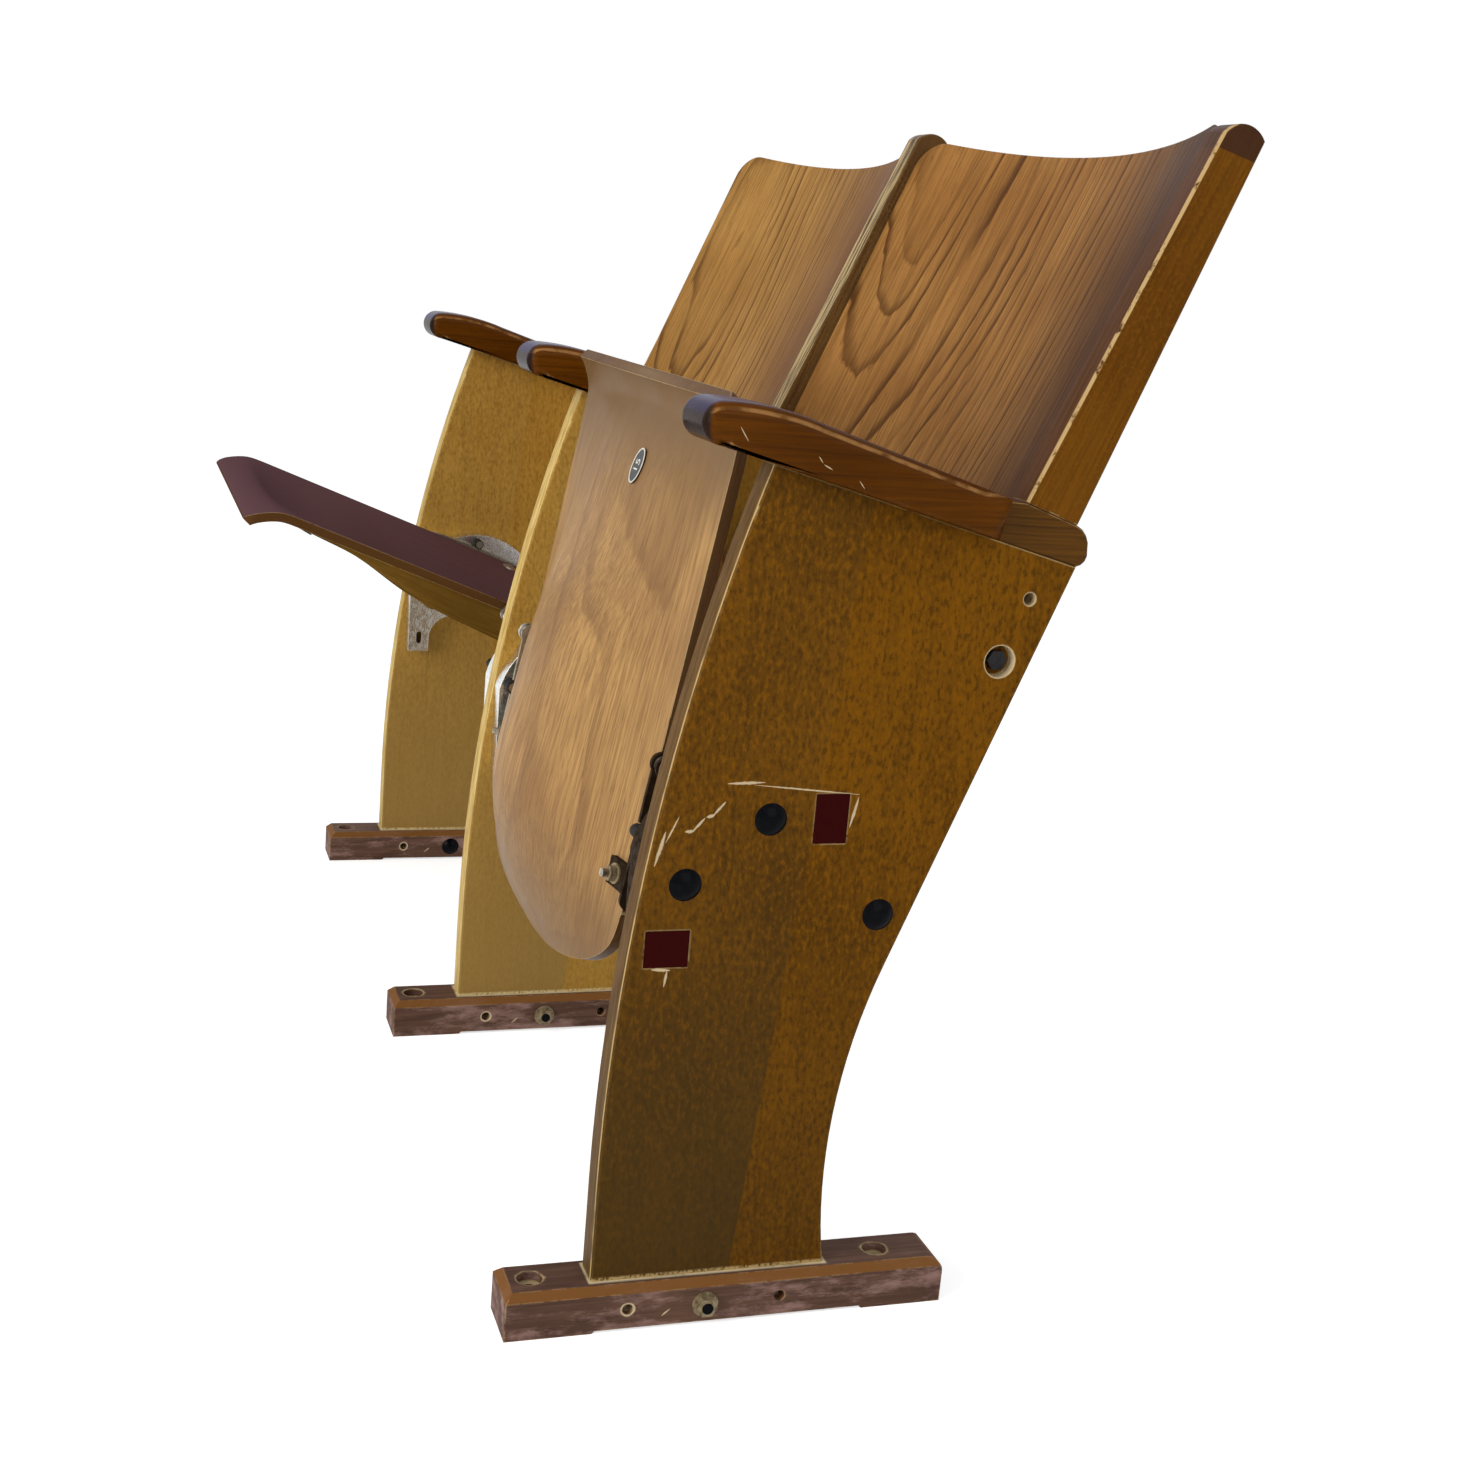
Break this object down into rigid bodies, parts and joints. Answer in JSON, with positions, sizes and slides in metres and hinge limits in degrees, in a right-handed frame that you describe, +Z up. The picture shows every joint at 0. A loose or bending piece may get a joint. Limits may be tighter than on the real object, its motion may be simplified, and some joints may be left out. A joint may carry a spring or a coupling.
{
  "type": "tip up auditorium seat",
  "caption": "Two-place wooden auditorium seat row with tip-up moulded plywood seats, curved ply backs, armrests and foot rails.",
  "frame": {"origin": "on the floor, midway between the two floor-screw holes of the middle foot rail", "axes": "+X along the row towards the near end standard, +Y from the front to the back, +Z up"},
  "size_m": [1.112, 0.6385, 0.8574],
  "materials": {
    "standard_wood": "worn brown stain under satin varnish",
    "rail_wood": "dark stain, scuffed",
    "arm_wood": "dark glossy varnish",
    "post_wood": "brown stain, pale worn arrises",
    "back_ply": "varnished plywood with strong grain",
    "seat_ply": "varnished moulded plywood",
    "batten_wood": "plain hardwood",
    "inlay_red": "dark red inlay",
    "plate_black": "black with a pale rim",
    "black_iron": "black domed heads",
    "bronze": "dull bronze",
    "rubber": "black rubber",
    "pressed_steel": "bright zinc-plated pressed steel",
    "plain_steel": "plain steel"
  },
  "bodies": {
    "frame": {"arm_dowels": "batten_wood", "back_bolts": "plain_steel", "back_nuts": "plain_steel", "bolt_spacers": "plain_steel", "bronze_washers": "bronze", "capped_bolts": "black_iron", "far_armrest": "arm_wood", "far_back_panel": "back_ply", "far_inner_batten": "batten_wood", "far_inner_housing": "pressed_steel", "far_inner_lug": "pressed_steel", "far_inner_pivot_pin": "plain_steel", "far_outer_batten": "batten_wood", "far_outer_housing": "pressed_steel", "far_outer_lug": "pressed_steel", "far_outer_pivot_pin": "plain_steel", "far_post": "post_wood", "far_rail": "rail_wood", "far_standard": "standard_wood", "housing_nuts": "plain_steel", "inlay_plugs": "inlay_red", "lug_rivets": "plain_steel", "mid_armrest": "arm_wood", "mid_bolts": "plain_steel", "mid_post": "post_wood", "mid_rail": "rail_wood", "mid_standard": "standard_wood", "near_armrest": "arm_wood", "near_back_panel": "back_ply", "near_inner_batten": "batten_wood", "near_inner_housing": "pressed_steel", "near_inner_lug": "pressed_steel", "near_inner_pivot_pin": "plain_steel", "near_outer_batten": "batten_wood", "near_outer_housing": "pressed_steel", "near_outer_lug": "pressed_steel", "near_outer_pivot_pin": "plain_steel", "near_post": "post_wood", "near_rail": "rail_wood", "near_standard": "standard_wood", "post_studs": "plain_steel", "rail_bolts": "black_iron", "rail_nuts": "plain_steel", "stop_sleeves": "rubber", "stop_studs": "plain_steel"},
    "near_seat": {"near_bushes": "bronze", "near_number_plate": "plate_black", "near_seat": "seat_ply", "near_seat_arm_left": "plain_steel", "near_seat_arm_right": "plain_steel", "near_seat_bolts": "plain_steel", "near_seat_nuts": "plain_steel"},
    "far_seat": {"far_bushes": "bronze", "far_number_plate": "plate_black", "far_seat": "seat_ply", "far_seat_arm_left": "plain_steel", "far_seat_arm_right": "plain_steel", "far_seat_bolts": "plain_steel", "far_seat_nuts": "plain_steel"}
  },
  "joints": [
    {"name": "near_seat_hinge", "type": "hinge", "parent": "frame", "child": "near_seat", "pos_m": [0.2625, -0.0485, 0.392], "axis": [1, 0, 0], "range_deg": [0, 79.4]},
    {"name": "far_seat_hinge", "type": "hinge", "parent": "frame", "child": "far_seat", "pos_m": [-0.2625, -0.0485, 0.392], "axis": [1, 0, 0], "range_deg": [-79.4, 0]}
  ]
}
